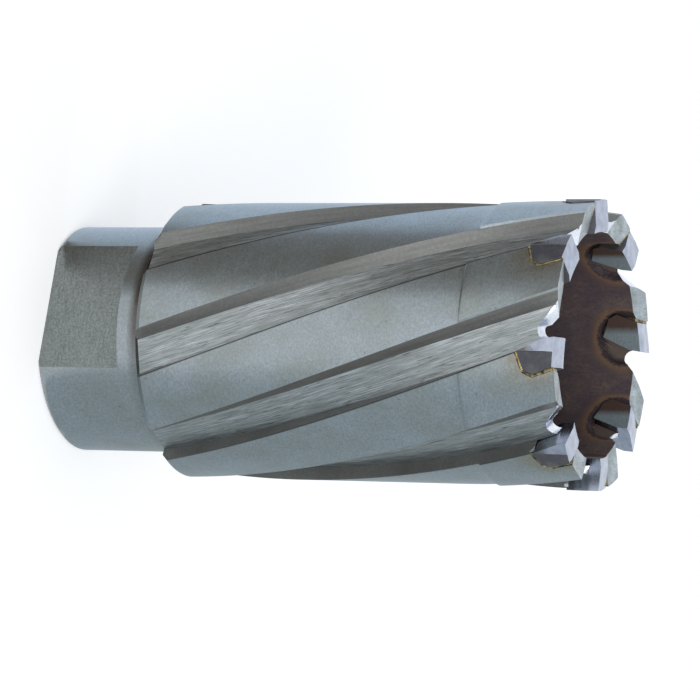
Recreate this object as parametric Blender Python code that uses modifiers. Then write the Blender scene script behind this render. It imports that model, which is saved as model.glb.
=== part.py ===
"""Annular cutter: a one-piece steel body with eight brazed carbide tips.

The cutter stands on the back face of its shank. The axis is +Z, and the teeth are at the top.
It cuts a ring-shaped slot, and leaves a core in its bore. The flutes are left-hand, and the
teeth lead clockwise as seen from the toothed end.

Azimuths are measured about +Z from +X. In a tooth's own frame, X is the radius through its
cutting corner, Y runs along the circle towards the back of the tooth, and Z is the axis.
"""

import math

import bmesh
import bpy
from mathutils import Matrix, Vector

MM = 0.001
DEG = math.pi / 180.0

# Shank
SHANK_DIA = 28.0 * MM
SHANK_LENGTH = 14.5 * MM
SHANK_EDGE = 0.4 * MM
FLATS_ACROSS = 23.0 * MM
FLAT_LENGTH = 9.5 * MM
FLAT_AZIMUTH = 250.0 * DEG
RELIEF_GROOVE_WIDTH = 0.7 * MM
RELIEF_GROOVE_DEPTH = 0.35 * MM

# Inside of the shank
THREAD_CORE_DIA = 16.4 * MM
THREAD_DEPTH = 11.5 * MM
THREAD_LEAD_IN = 0.9 * MM
WEB_THICKNESS = 5.5 * MM
GUIDE_HOLE_DIA = 8.0 * MM
GUIDE_HOLE_EDGE = 0.5 * MM

# Fluted body: the body and the band behind the teeth stay inside the cutting circle
CUTTING_DIA = 35.0 * MM
BODY_LENGTH = 54.5 * MM
BODY_CLEARANCE = 0.45 * MM
BAND_CLEARANCE = 0.2 * MM
BAND_LENGTH = 12.6 * MM
BAND_RAMP = 0.25 * MM
SHOULDER_CHAMFER = 0.8 * MM
WALL_THICKNESS = 3.15 * MM
BORE_ROOT = 1.2 * MM

# Teeth and flutes
TOOTH_COUNT = 8
FIRST_TOOTH_AZIMUTH = 42.0 * DEG
FLUTE_LEAD = 307.0 * MM
FLUTE_WIDTH = 5.8 * MM
FLUTE_DEPTH = 1.6 * MM
FLUTE_BACK_RUN = 1.2 * MM
FLUTE_FLOOR_RISE = 0.15 * MM
FLUTE_RUN_OUT = 0.6 * MM

# Toothed end: the steel's front falls inwards, and the gullets slope down to the outside.
# A gullet's depth is measured where it opens into the floor of its flute.
STEEL_SETBACK = 0.35 * MM
STEEL_FRONT_FALL = 0.65 * MM
GULLET_DEPTH = 3.1 * MM
GULLET_LEAN = 7.0 * DEG
GULLET_ROOT_RADIUS = 1.1 * MM
GULLET_SLOPE = 42.0 * DEG
GULLET_TILT = 35.0 * DEG

# Carbide tips, brazed into open seats: their front is ground like a roof with its peak inside
TIP_HEIGHT = 5.2 * MM
TIP_THICKNESS = 3.2 * MM
TIP_CORNER = 0.8 * MM
TIP_BARED_DEPTH = 1.5 * MM
TIP_RELIEF = 5.5 * DEG
TIP_INNER_STAND = 0.3 * MM
TIP_PEAK_INSET = 1.0 * MM
TIP_OUTER_DROP = 0.25 * MM
TIP_INNER_DROP = 0.15 * MM
BRAZE_THICKNESS = 0.25 * MM
BRAZE_SET_IN = 0.1 * MM
SEAT_GAP = 0.05 * MM
SCOOP_RADIUS = 3.0 * MM
SCOOP_DEPTH = 0.6 * MM
SCOOP_DROP = 2.4 * MM

# Fineness of the round forms
ROUND_STEPS = 96
FLUTE_STEPS = 26
ROOT_STEPS = 5
SCOOP_STEPS = 24
OVERCUT = 1.2 * MM
EDGE_SHARP_ANGLE = 30.0 * DEG

# What follows from the sizes above
FRONT_Z = SHANK_LENGTH + BODY_LENGTH
STEEL_FRONT_Z = FRONT_Z - STEEL_SETBACK
SHANK_RADIUS = SHANK_DIA / 2
CUTTING_RADIUS = CUTTING_DIA / 2
BODY_RADIUS = CUTTING_RADIUS - BODY_CLEARANCE
BAND_RADIUS = CUTTING_RADIUS - BAND_CLEARANCE
BORE_RADIUS = BODY_RADIUS - WALL_THICKNESS
FLOOR_RADIUS = BODY_RADIUS - FLUTE_DEPTH
TOOTH_PITCH = 2 * math.pi / TOOTH_COUNT
HELIX_ANGLE = math.atan(2 * math.pi * BODY_RADIUS / FLUTE_LEAD)


def empty_the_scene():
    """Remove whatever the scene holds, so that the script starts from nothing."""
    for obj in list(bpy.data.objects):
        bpy.data.objects.remove(obj, do_unlink=True)


def make_collection(name):
    collection = bpy.data.collections.new(name)
    bpy.context.scene.collection.children.link(collection)
    return collection


def make_material(name, colour, roughness, metallic):
    material = bpy.data.materials.new(name)
    material.use_nodes = True
    shader = material.node_tree.nodes["Principled BSDF"]
    shader.inputs["Base Color"].default_value = (*colour, 1.0)
    shader.inputs["Roughness"].default_value = roughness
    shader.inputs["Metallic"].default_value = metallic
    return material


def mesh_from(bm, name):
    """Turn a closed bmesh into a mesh whose faces point out."""
    bmesh.ops.recalc_face_normals(bm, faces=bm.faces)
    mesh = bpy.data.meshes.new(name)
    bm.to_mesh(mesh)
    bm.free()
    return mesh


def add_object(name, mesh, collection, material=None):
    obj = bpy.data.objects.new(name, mesh)
    collection.objects.link(obj)
    if material is not None:
        mesh.materials.append(material)
    return obj


def add_cutter(name, mesh, collection):
    """Add an object that only shapes others: it is drawn as wires and never rendered."""
    cutter = add_object(name, mesh, collection)
    cutter.display_type = "WIRE"
    cutter.hide_render = True
    return cutter


def add_boolean(obj, cutter, operation):
    modifier = obj.modifiers.new(cutter.name, "BOOLEAN")
    modifier.operation = operation
    modifier.object = cutter
    modifier.solver = "EXACT"


def settle(obj):
    """Give a piece the mesh that its modifiers make, shaded round with its real edges sharp."""
    evaluated = obj.evaluated_get(bpy.context.evaluated_depsgraph_get())
    mesh = bpy.data.meshes.new_from_object(evaluated)
    obj.modifiers.clear()
    obj.data = mesh
    mesh.shade_smooth()
    mesh.set_sharp_from_angle(angle=EDGE_SHARP_ANGLE)


def turned_object(name, profile, collection, material=None):
    """A closed outline of (radius, height) points, turned about Z with a Screw modifier."""
    mesh = bpy.data.meshes.new(name)
    count = len(profile)
    corners = [(radius, 0.0, height) for radius, height in profile]
    edges = [(i, (i + 1) % count) for i in range(count)]
    mesh.from_pydata(corners, edges, [])
    obj = add_object(name, mesh, collection, material)
    screw = obj.modifiers.new("turned", "SCREW")
    screw.axis = "Z"
    screw.angle = 2 * math.pi
    screw.steps = ROUND_STEPS
    screw.render_steps = ROUND_STEPS
    screw.use_merge_vertices = True
    screw.merge_threshold = 0.00001
    screw.use_smooth_shade = True
    return obj


def flat_slab(outline, near, far):
    """A flat outline in a tooth's Y and Z, made solid along X from near to far.

    The outline is a 2D curve, filled on both sides and extruded by half its thickness.
    """
    curve = bpy.data.curves.new("outline", "CURVE")
    curve.dimensions = "2D"
    curve.fill_mode = "BOTH"
    curve.extrude = (far - near) / 2
    spline = curve.splines.new("POLY")
    spline.points.add(len(outline) - 1)
    for point, (across, height) in zip(spline.points, outline):
        point.co = (across, height, 0.0, 1.0)
    spline.use_cyclic_u = True
    flat = bpy.data.objects.new("outline", curve)
    bpy.context.scene.collection.objects.link(flat)
    evaluated = flat.evaluated_get(bpy.context.evaluated_depsgraph_get())
    mesh = bpy.data.meshes.new_from_object(evaluated)
    bpy.data.objects.remove(flat, do_unlink=True)
    to_tooth_frame = Matrix(((0, 0, 1, 0), (1, 0, 0, 0), (0, 1, 0, 0), (0, 0, 0, 1)))
    to_middle = Matrix.Translation(((near + far) / 2, 0, 0))
    bm = bmesh.new()
    bm.from_mesh(mesh)
    bpy.data.meshes.remove(mesh)
    bmesh.ops.remove_doubles(bm, verts=bm.verts, dist=0.000001)
    bmesh.ops.transform(bm, matrix=to_middle @ to_tooth_frame, verts=bm.verts)
    return mesh_from(bm, "slab")


def around_the_axis(mesh, name):
    """One mesh that holds a copy of the given one at each tooth."""
    bm = bmesh.new()
    for tooth in range(TOOTH_COUNT):
        old_verts = set(bm.verts)
        bm.from_mesh(mesh)
        new_verts = [vert for vert in bm.verts if vert not in old_verts]
        turn = Matrix.Rotation(FIRST_TOOTH_AZIMUTH + tooth * TOOTH_PITCH, 4, "Z")
        bmesh.ops.transform(bm, matrix=turn, verts=new_verts)
    bpy.data.meshes.remove(mesh)
    return mesh_from(bm, name)


def grow_outline(outline, distances):
    """Move each side of a counter-clockwise outline out by its own distance.

    Side i runs from point i to point i + 1. The new points are where the moved sides meet.
    """
    count = len(outline)
    sides = []
    for i in range(count):
        start = Vector(outline[i])
        along = (Vector(outline[(i + 1) % count]) - start).normalized()
        outward = Vector((along.y, -along.x))
        sides.append((start + outward * distances[i], along))
    grown = []
    for i in range(count):
        (before, along_before), (after, along_after) = sides[i - 1], sides[i]
        gap = after - before
        cross = along_before.x * along_after.y - along_before.y * along_after.x
        share = (gap.x * along_after.y - gap.y * along_after.x) / cross
        grown.append(tuple(before + along_before * share))
    return grown


def blank_profile():
    """Outline of the turned blank, down the outside and back up through the bore."""
    groove_top = SHANK_LENGTH
    groove_low = groove_top - RELIEF_GROOVE_WIDTH
    groove_radius = SHANK_RADIUS - RELIEF_GROOVE_DEPTH
    band_low = FRONT_Z - BAND_LENGTH
    web_top = THREAD_DEPTH + WEB_THICKNESS
    thread_radius = THREAD_CORE_DIA / 2
    guide_radius = GUIDE_HOLE_DIA / 2
    return [
        (BAND_RADIUS, STEEL_FRONT_Z),
        (BAND_RADIUS, band_low + BAND_RAMP),
        (BODY_RADIUS, band_low),
        (BODY_RADIUS, SHANK_LENGTH + SHOULDER_CHAMFER),
        (BODY_RADIUS - SHOULDER_CHAMFER, SHANK_LENGTH),
        (groove_radius, groove_top),
        (groove_radius, groove_low + RELIEF_GROOVE_DEPTH),
        (SHANK_RADIUS, groove_low),
        (SHANK_RADIUS, SHANK_EDGE),
        (SHANK_RADIUS - SHANK_EDGE, 0.0),
        (thread_radius + THREAD_LEAD_IN, 0.0),
        (thread_radius, THREAD_LEAD_IN),
        (thread_radius, THREAD_DEPTH),
        (guide_radius, THREAD_DEPTH),
        (guide_radius, web_top - GUIDE_HOLE_EDGE),
        (guide_radius + GUIDE_HOLE_EDGE, web_top),
        (BORE_RADIUS - BORE_ROOT, web_top),
        (BORE_RADIUS, web_top + BORE_ROOT),
        (BORE_RADIUS, STEEL_FRONT_Z - STEEL_FRONT_FALL),
    ]


def flute_azimuth(height):
    """How far a flute's leading wall has turned at a height, from its place at the front."""
    return 2 * math.pi * (FRONT_Z - height) / FLUTE_LEAD


def flute_section():
    """Corners of a flute's cross-section: radial leading wall, milled floor, sloping back wall."""
    floor_end_radius = FLOOR_RADIUS + FLUTE_FLOOR_RISE
    floor_turn = (FLUTE_WIDTH - FLUTE_BACK_RUN) / BODY_RADIUS
    back_turn = FLUTE_WIDTH / BODY_RADIUS
    foot = Vector((FLOOR_RADIUS, 0.0))
    lead_top = Vector((CUTTING_RADIUS + OVERCUT, 0.0))
    floor_end = floor_end_radius * Vector((math.cos(floor_turn), -math.sin(floor_turn)))
    back_edge = BODY_RADIUS * Vector((math.cos(back_turn), -math.sin(back_turn)))
    stretch = (CUTTING_RADIUS + OVERCUT - floor_end_radius) / (BODY_RADIUS - floor_end_radius)
    back_top = floor_end + (back_edge - floor_end) * stretch
    return [foot, floor_end, back_top, lead_top]


def flute_cutter_mesh():
    """One flute's section carried along its helix, from below the shoulder to past the front."""
    low = SHANK_LENGTH - FLUTE_RUN_OUT
    high = FRONT_Z + OVERCUT
    turn = flute_azimuth(high) - flute_azimuth(low)
    bm = bmesh.new()
    verts = [bm.verts.new((corner.x, corner.y, low)) for corner in flute_section()]
    face = bm.faces.new(verts)
    bmesh.ops.rotate(bm, verts=verts, matrix=Matrix.Rotation(flute_azimuth(low), 3, "Z"))
    bmesh.ops.spin(
        bm,
        geom=[face, *face.edges, *verts],
        axis=(0, 0, 1),
        dvec=(0, 0, (high - low) / FLUTE_STEPS),
        angle=turn,
        steps=FLUTE_STEPS,
    )
    bmesh.ops.triangulate(bm, faces=bm.faces)
    return mesh_from(bm, "flute")


def gullet_outline():
    """Outline of a gullet: the wall below the cutting corner, a round root and a long slope."""
    lean = math.tan(GULLET_LEAN)
    root_z = FRONT_Z - GULLET_DEPTH
    centre_z = root_z + GULLET_ROOT_RADIUS
    wall_foot = lean * (FRONT_Z - centre_z)
    centre = Vector((wall_foot - GULLET_ROOT_RADIUS / math.cos(GULLET_LEAN), centre_z))
    top = FRONT_Z + GULLET_DEPTH
    outline = [(-lean * (top - FRONT_Z), top)]
    slope_side = math.pi + (math.pi / 2 - GULLET_SLOPE)
    wall_side = 2 * math.pi - GULLET_LEAN
    for i in range(ROOT_STEPS + 1):
        side = wall_side + (slope_side - wall_side) * i / ROOT_STEPS
        toward = Vector((math.cos(side), math.sin(side)))
        outline.append(tuple(centre + GULLET_ROOT_RADIUS * toward))
    foot_y, foot_z = outline[-1]
    outline.append((foot_y - (top - foot_z) / math.tan(GULLET_SLOPE), top))
    return outline


def gullet_mesh(near, far):
    """A gullet's outline along the radius, tilted so that its root drops to the outside.

    The tilt slides the outline along its own wall, so the wall stays in one plane.
    """
    fall = math.tan(GULLET_TILT)
    drift = fall * math.tan(GULLET_LEAN)
    tilt = Matrix(
        (
            (1, 0, 0, 0),
            (drift, 1, 0, -drift * FLOOR_RADIUS),
            (-fall, 0, 1, fall * FLOOR_RADIUS),
            (0, 0, 0, 1),
        )
    )
    mesh = flat_slab(gullet_outline(), near, far)
    mesh.transform(tilt)
    return mesh


def tip_outline():
    """Outline of a carbide tip, counter-clockwise from its cutting corner.

    The tip is a block that leans with the helix. The gullet has bared the top of its leading
    side, its rear lower corner is cut off, and its front is ground down towards the back.
    """
    down = Vector((math.sin(HELIX_ANGLE), -math.cos(HELIX_ANGLE)))
    back = Vector((math.cos(HELIX_ANGLE), math.sin(HELIX_ANGLE)))
    corner = Vector((0.0, FRONT_Z))
    bared = corner + TIP_BARED_DEPTH * Vector((math.tan(GULLET_LEAN), -1.0))
    foot = corner + TIP_HEIGHT * down
    rear_foot = foot + TIP_THICKNESS * back
    relief = math.tan(TIP_RELIEF)
    drop = (corner.y - relief * rear_foot.x) - rear_foot.y
    rear_top = rear_foot - down * drop / (math.cos(HELIX_ANGLE) - relief * math.sin(HELIX_ANGLE))
    return [
        tuple(corner),
        tuple(bared),
        tuple(foot),
        tuple(rear_foot - TIP_CORNER * back),
        tuple(rear_foot - TIP_CORNER * down),
        tuple(rear_top),
    ]


def seat_outline():
    """Outline of a tip's seat: the tip, its braze and their gaps, open at the front."""
    joint = BRAZE_THICKNESS + 2 * SEAT_GAP
    return grow_outline(tip_outline(), [SEAT_GAP, SEAT_GAP, joint, joint, joint, OVERCUT])


def braze_outline():
    """Outline of the braze: a bent band under the tip and behind it."""
    outer = SEAT_GAP + BRAZE_THICKNESS
    inside = grow_outline(tip_outline(), [0, 0, SEAT_GAP, SEAT_GAP, SEAT_GAP, 0])
    outside = grow_outline(tip_outline(), [0, 0, outer, outer, outer, 0])
    return inside[:1:-1] + outside[2:]


def ring_cutter(name, inner_radius, outer_radius, top, collection):
    """A turned ring round the toothed end, which gives a slab its round inside and outside.

    top holds the (radius, height) points of the ring's upper side, from the inside out.
    """
    low = FRONT_Z - 2 * TIP_HEIGHT
    profile = [(outer_radius, low), (inner_radius, low), *top]
    ring = turned_object(name, profile, collection)
    ring.display_type = "WIRE"
    ring.hide_render = True
    return ring


def scoop_mesh():
    """A round recess in the bore behind each tip, as a short cylinder along the radius."""
    bm = bmesh.new()
    depth = SCOOP_DEPTH + BORE_RADIUS / 2
    bmesh.ops.create_cone(
        bm,
        cap_ends=True,
        segments=SCOOP_STEPS,
        radius1=SCOOP_RADIUS,
        radius2=SCOOP_RADIUS,
        depth=depth,
    )
    centre = (BORE_RADIUS + SCOOP_DEPTH - depth / 2, TIP_THICKNESS / 2, FRONT_Z - SCOOP_DROP)
    lay_along_x = Matrix.Rotation(math.pi / 2, 4, "Y")
    bmesh.ops.transform(bm, matrix=Matrix.Translation(centre) @ lay_along_x, verts=bm.verts)
    return mesh_from(bm, "scoop")


def flat_cutter_mesh():
    """Two blocks that leave the wrench flats on the shank."""
    bm = bmesh.new()
    reach = SHANK_RADIUS - FLATS_ACROSS / 2 + OVERCUT
    height = FLAT_LENGTH + OVERCUT
    size = Matrix.Diagonal((reach, 2 * (SHANK_RADIUS + OVERCUT), height, 1.0))
    for side in (0, 1):
        turn = Matrix.Rotation(FLAT_AZIMUTH + side * math.pi, 4, "Z")
        place = Matrix.Translation((FLATS_ACROSS / 2 + reach / 2, 0.0, FLAT_LENGTH - height / 2))
        bmesh.ops.create_cube(bm, size=1.0, matrix=turn @ place @ size)
    return mesh_from(bm, "flats")


def build_body(parts, cutters, steel):
    """The one-piece body: a turned blank, fluted, gulleted, seated for the tips and flatted."""
    body = turned_object("cutter_body", blank_profile(), parts, steel)
    flutes = around_the_axis(flute_cutter_mesh(), "flutes")
    near = BORE_RADIUS / 2
    far = CUTTING_RADIUS + OVERCUT
    gullets = around_the_axis(gullet_mesh(near, far), "gullets")
    seats = around_the_axis(flat_slab(seat_outline(), near, far), "seats")
    scoops = around_the_axis(scoop_mesh(), "scoops")
    for name, mesh in (
        ("flute_cutter", flutes),
        ("gullet_cutter", gullets),
        ("seat_cutter", seats),
        ("scoop_cutter", scoops),
        ("flat_cutter", flat_cutter_mesh()),
    ):
        add_boolean(body, add_cutter(name, mesh, cutters), "DIFFERENCE")
    settle(body)


def build_tips(parts, cutters, carbide, filler):
    """A carbide tip and its braze in each seat."""
    tip_inner = BORE_RADIUS - TIP_INNER_STAND
    roof = [
        (tip_inner, FRONT_Z - TIP_INNER_DROP),
        (tip_inner + TIP_PEAK_INSET, FRONT_Z),
        (CUTTING_RADIUS, FRONT_Z - TIP_OUTER_DROP),
    ]
    tip_ring = ring_cutter("tip_ring", tip_inner, CUTTING_RADIUS, roof, cutters)
    braze_inner = BORE_RADIUS + SCOOP_DEPTH - BRAZE_SET_IN
    braze_outer = BAND_RADIUS - BRAZE_SET_IN
    braze_top = STEEL_FRONT_Z - BRAZE_SET_IN
    slope = [(braze_inner, braze_top - STEEL_FRONT_FALL), (braze_outer, braze_top)]
    braze_ring = ring_cutter("braze_ring", braze_inner, braze_outer, slope, cutters)
    near = BORE_RADIUS / 2
    far = CUTTING_RADIUS + OVERCUT
    tip_mesh = flat_slab(tip_outline(), near, far)
    tip_mesh.materials.append(carbide)
    braze_mesh = flat_slab(braze_outline(), near, far)
    braze_mesh.materials.append(filler)
    for tooth in range(TOOTH_COUNT):
        for name, mesh, ring in (
            ("carbide_tip", tip_mesh, tip_ring),
            ("braze_seam", braze_mesh, braze_ring),
        ):
            piece = add_object(f"{name}_{tooth + 1}", mesh, parts)
            piece.rotation_euler.z = FIRST_TOOTH_AZIMUTH + tooth * TOOTH_PITCH
            add_boolean(piece, ring, "INTERSECT")
            settle(piece)


def main():
    empty_the_scene()
    parts = make_collection("annular_cutter")
    cutters = make_collection("cutters")
    steel = make_material("ground_tool_steel", (0.30, 0.33, 0.36), 0.38, 1.0)
    carbide = make_material("sintered_carbide", (0.20, 0.20, 0.23), 0.30, 1.0)
    filler = make_material("silver_braze", (0.62, 0.50, 0.22), 0.40, 1.0)
    build_body(parts, cutters, steel)
    build_tips(parts, cutters, carbide, filler)


main()
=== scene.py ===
"""Annular cutter in use: ground and milled tool steel, brazed carbide and a threaded shank.

Shapes are worked out in millimetres, in the frame of the model: the axis is +Z, and the back face
of the shank is at height 0. A tooth's own frame has X along the radius through its cutting corner,
Y along the circle towards the tooth's back, and Z along the axis. A turn is an angle about the axis
measured from the flute's leading wall at that height.
"""

import math

import bmesh
import bpy
import numpy as np
from mathutils import Matrix, Vector


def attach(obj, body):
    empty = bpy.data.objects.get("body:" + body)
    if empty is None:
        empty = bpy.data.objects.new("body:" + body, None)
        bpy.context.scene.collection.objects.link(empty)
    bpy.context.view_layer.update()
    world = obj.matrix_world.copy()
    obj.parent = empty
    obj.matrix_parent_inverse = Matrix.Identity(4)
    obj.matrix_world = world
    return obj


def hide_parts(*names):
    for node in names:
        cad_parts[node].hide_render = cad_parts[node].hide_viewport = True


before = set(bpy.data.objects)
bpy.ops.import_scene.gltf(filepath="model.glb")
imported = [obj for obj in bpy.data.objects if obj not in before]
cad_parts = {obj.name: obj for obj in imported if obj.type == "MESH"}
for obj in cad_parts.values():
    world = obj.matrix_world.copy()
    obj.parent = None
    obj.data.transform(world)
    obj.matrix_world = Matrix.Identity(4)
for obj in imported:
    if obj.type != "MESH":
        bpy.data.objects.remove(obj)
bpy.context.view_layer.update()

MM = 0.001
TAU = 2 * math.pi

# Turned blank
SHANK_RADIUS = 14.0
SHANK_TOP = 14.5
SHANK_EDGE = 0.4
GROOVE_WIDTH = 1.05
GROOVE_DEPTH = 0.35
FLAT_DISTANCE = 11.5
FLAT_TOP = 10.9
FLAT_AZIMUTH = math.radians(250.0)
BODY_RADIUS = 17.05
BAND_RADIUS = 17.3
BAND_LOW = 56.4
BAND_RAMP = 0.45
SHOULDER_CHAMFER = 0.8
BORE_RADIUS = 13.9
BORE_ROOT = 1.2
FRONT_Z = 69.0

# Painted shade on the shank below the shoulder, from none to full, and towards -X, where it is
# strongest
SHOULDER_SHADE_HEIGHTS = 12.1, 13.1
SHOULDER_SHADE_SIDES = -3.0, 6.0

# Inside of the shank: an internal thread and a web with a guide hole
THREAD_CREST_RADIUS = 8.2
THREAD_ROOT_RADIUS = 8.95
THREAD_PITCH = 1.5
THREAD_END = 11.5
THREAD_RUN_OUT = 1.2
THREAD_LEAD_IN = 0.9
THREAD_ROWS = 4
WEB_TOP = 17.0
GUIDE_RADIUS = 4.0
GUIDE_EDGE = 0.5

# Teeth and flutes
TEETH = 8
PITCH = TAU / TEETH
FIRST_TOOTH = math.radians(42.0)
CUTTING_RADIUS = 17.5
FLUTE_LEAD = 307.0
FLUTE_WIDTH = 5.8
FLUTE_DEPTH = 1.6
FLUTE_BACK_RUN = 1.2
FLUTE_FLOOR_RISE = 0.15
WALL_OVERRUN = 0.2
MILLED_UNEVENNESS = 0.014
MILLED_TOP = 66.0
LAND_EDGE = 0.07
# Painted shadow line on each land along its edge into the flute: full up to the first distance from
# the edge, gone past the second, in mm
PAINTED_EDGE_SHADE = 0.1, 0.24
HELIX_SLOPE = TAU * BODY_RADIUS / FLUTE_LEAD
PITCH_ARC = PITCH * BODY_RADIUS

# Toothed end
STEEL_FRONT = 68.65
FRONT_FALL = 0.65
GULLET_DEPTH = 3.1
GULLET_LEAN = math.radians(7.0)
GULLET_ROOT = 1.1
GULLET_SLOPE = math.radians(42.0)
GULLET_TILT = math.radians(35.0)
SCOOP_RADIUS = 3.0
SCOOP_DEPTH = 0.6
SCOOP_RIM = 0.28
SCOOP_DROP = 2.4

# Carbide tips and their braze
TIP_HEIGHT = 5.2
TIP_THICKNESS = 3.2
TIP_CORNER = 0.8
TIP_BARED = 1.5
TIP_RELIEF = math.radians(5.5)
TIP_INNER = BORE_RADIUS - 0.3
TIP_PEAK_INSET = 1.0
TIP_OUTER_DROP = 0.25
TIP_INNER_DROP = 0.15
BRAZE = 0.35
SEAT_GAP = 0.05
PATCH_DEPTH = 0.08
BRAZE_INNER = 14.4
BRAZE_OUTER = 17.2
BRAZE_SUNK = 0.06

# Tint that the brazing left: its reach, and the middle of a tip in a tooth's Y and Z
HEAT_REACH = 3.6
HEAT_STRETCH = 1.15
TIP_MIDDLE = 2.6, 66.2

# Steps of the meshes: columns and rows in millimetres, the rest as counts
FINE_COLUMN = 0.27
COARSE_COLUMN = 0.85
ROW_STEP = 0.75
SEAT_STEP = 0.02
ROOT_POINTS = 7
CROWN_LOW = 60.0
CROWN_ROWS = 14
UNWIND_LOW = 46.0
RECESS_LOW = 62.0
BORE_ROWS = 20
RECESS_ROWS = 27
FOOT_ROWS, LIP_ROWS = 13, 7
REAR_ROWS, CREST_ROWS = 4, 16
BRAZE_ROWS = 14, 6, 16
BRAZE_TOP_ROWS = 8
BRAZE_STEP = 0.27
BLOCK_SIDE = 0.985, 0.9, 0.75, 0.6, 0.45, 0.256, 0.1

# What a row of the body's grid belongs to, and the body's material slots, where the flute walls'
# slot carries painted shade
OUTSIDE, SHOULDER, SHANK, FLATTED, BACK_FACE, THREAD, GUIDE, BORE, FRONT = range(9)
GROUND, MILLED, POLISHED, HEAT_DARK, TAPPED, WRENCH_FLAT, SHADED_FLUTE_WALL, FACED = range(8)


def helix(height):
    """Turn of the flutes at a height: one lead makes one whole turn, and the front is at zero."""
    return TAU * (FRONT_Z - height) / FLUTE_LEAD


def filled(stops, step):
    """The stops, with evenly spaced values between them so that no gap is wider than a step."""
    runs = [
        np.linspace(a, b, max(1, math.ceil((b - a) / step)) + 1)[:-1]
        for a, b in zip(stops, stops[1:])
    ]
    return np.concatenate([*runs, [stops[-1]]])


def chord(angle, first, last):
    """Radius of the straight line between two polar points (angle, radius), seen at an angle.

    It is r0 r1 sin(a1 - a0) / (r0 sin(a - a0) + r1 sin(a1 - a)).
    """
    (a0, r0), (a1, r1) = first, last
    return r0 * r1 * math.sin(a1 - a0) / (r0 * np.sin(angle - a0) + r1 * np.sin(a1 - angle))


FLOOR_TURN = (FLUTE_WIDTH - FLUTE_BACK_RUN) / BODY_RADIUS
BACK_TURN = FLUTE_WIDTH / BODY_RADIUS
FLOOR_RADIUS = BODY_RADIUS - FLUTE_DEPTH
FLOOR_END_RADIUS = FLOOR_RADIUS + FLUTE_FLOOR_RISE
BAND_TURN = BACK_TURN + WALL_OVERRUN / BODY_RADIUS


def flute_radius(turn):
    """Radius that the flutes leave at a turn: a flat floor, then a flat wall up to the land."""
    ahead = np.mod(-turn, PITCH)
    floor = chord(ahead, (0.0, FLOOR_RADIUS), (FLOOR_TURN, FLOOR_END_RADIUS))
    wall = chord(ahead, (FLOOR_TURN, FLOOR_END_RADIUS), (BACK_TURN, BODY_RADIUS))
    inside = np.where(ahead <= FLOOR_TURN, floor, wall)
    return np.where((ahead > 1e-6) & (ahead < BAND_TURN), inside, 2 * BODY_RADIUS)


def blank_radius(height):
    """Radius of the turned outside at a height: chamfered shoulder, body, ramp and band."""
    heights = [SHANK_TOP, SHANK_TOP + SHOULDER_CHAMFER]
    turned = np.interp(height, heights, [BODY_RADIUS - SHOULDER_CHAMFER, BODY_RADIUS])
    rise = np.clip((height - BAND_LOW) / BAND_RAMP, 0.0, 1.0)
    return turned + (BAND_RADIUS - BODY_RADIUS) * rise * rise * (3 - 2 * rise)


def face_height(radius):
    """Height of the steel's front face at a radius: a flat cone that falls inwards."""
    return np.interp(radius, [BORE_RADIUS, BAND_RADIUS], [STEEL_FRONT - FRONT_FALL, STEEL_FRONT])


def grown(outline, distances):
    """Outline whose sides are moved out, each by its own distance; corners are where they meet."""
    start = np.asarray(outline, float)
    along = np.roll(start, -1, axis=0) - start
    along /= np.linalg.norm(along, axis=1)[:, None]
    outward = np.stack([along[:, 1], -along[:, 0]], axis=1)
    moved = start + outward * np.asarray(distances, float)[:, None]
    before, along_before = np.roll(moved, 1, axis=0), np.roll(along, 1, axis=0)
    gap = moved - before
    cross = along_before[:, 0] * along[:, 1] - along_before[:, 1] * along[:, 0]
    share = (gap[:, 0] * along[:, 1] - gap[:, 1] * along[:, 0]) / cross
    return before + along_before * share[:, None]


def tip_outline():
    """Corners of a tip in a tooth's Y and Z, counter-clockwise from its cutting corner."""
    lean = math.atan(HELIX_SLOPE)
    down = np.array([math.sin(lean), -math.cos(lean)])
    back = np.array([math.cos(lean), math.sin(lean)])
    corner = np.array([0.0, FRONT_Z])
    bared = corner + TIP_BARED * np.array([math.tan(GULLET_LEAN), -1.0])
    foot = corner + TIP_HEIGHT * down
    rear = foot + TIP_THICKNESS * back
    relief = math.tan(TIP_RELIEF)
    drop = corner[1] - relief * rear[0] - rear[1]
    rear_top = rear - down * drop / (math.cos(lean) - relief * math.sin(lean))
    return np.array(
        [corner, bared, foot, rear - TIP_CORNER * back, rear - TIP_CORNER * down, rear_top]
    )


def gullet_outline():
    """Round root of a gullet in a tooth's Y and Z, from the foot of its slope to its wall."""
    centre_z = FRONT_Z - GULLET_DEPTH + GULLET_ROOT
    wall = math.tan(GULLET_LEAN) * (FRONT_Z - centre_z)
    centre_y = wall - GULLET_ROOT / math.cos(GULLET_LEAN)
    side = np.linspace(1.5 * math.pi - GULLET_SLOPE, TAU - GULLET_LEAN, ROOT_POINTS)
    across = centre_y + GULLET_ROOT * np.cos(side)
    return np.stack([across, centre_z + GULLET_ROOT * np.sin(side)], axis=1)


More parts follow.
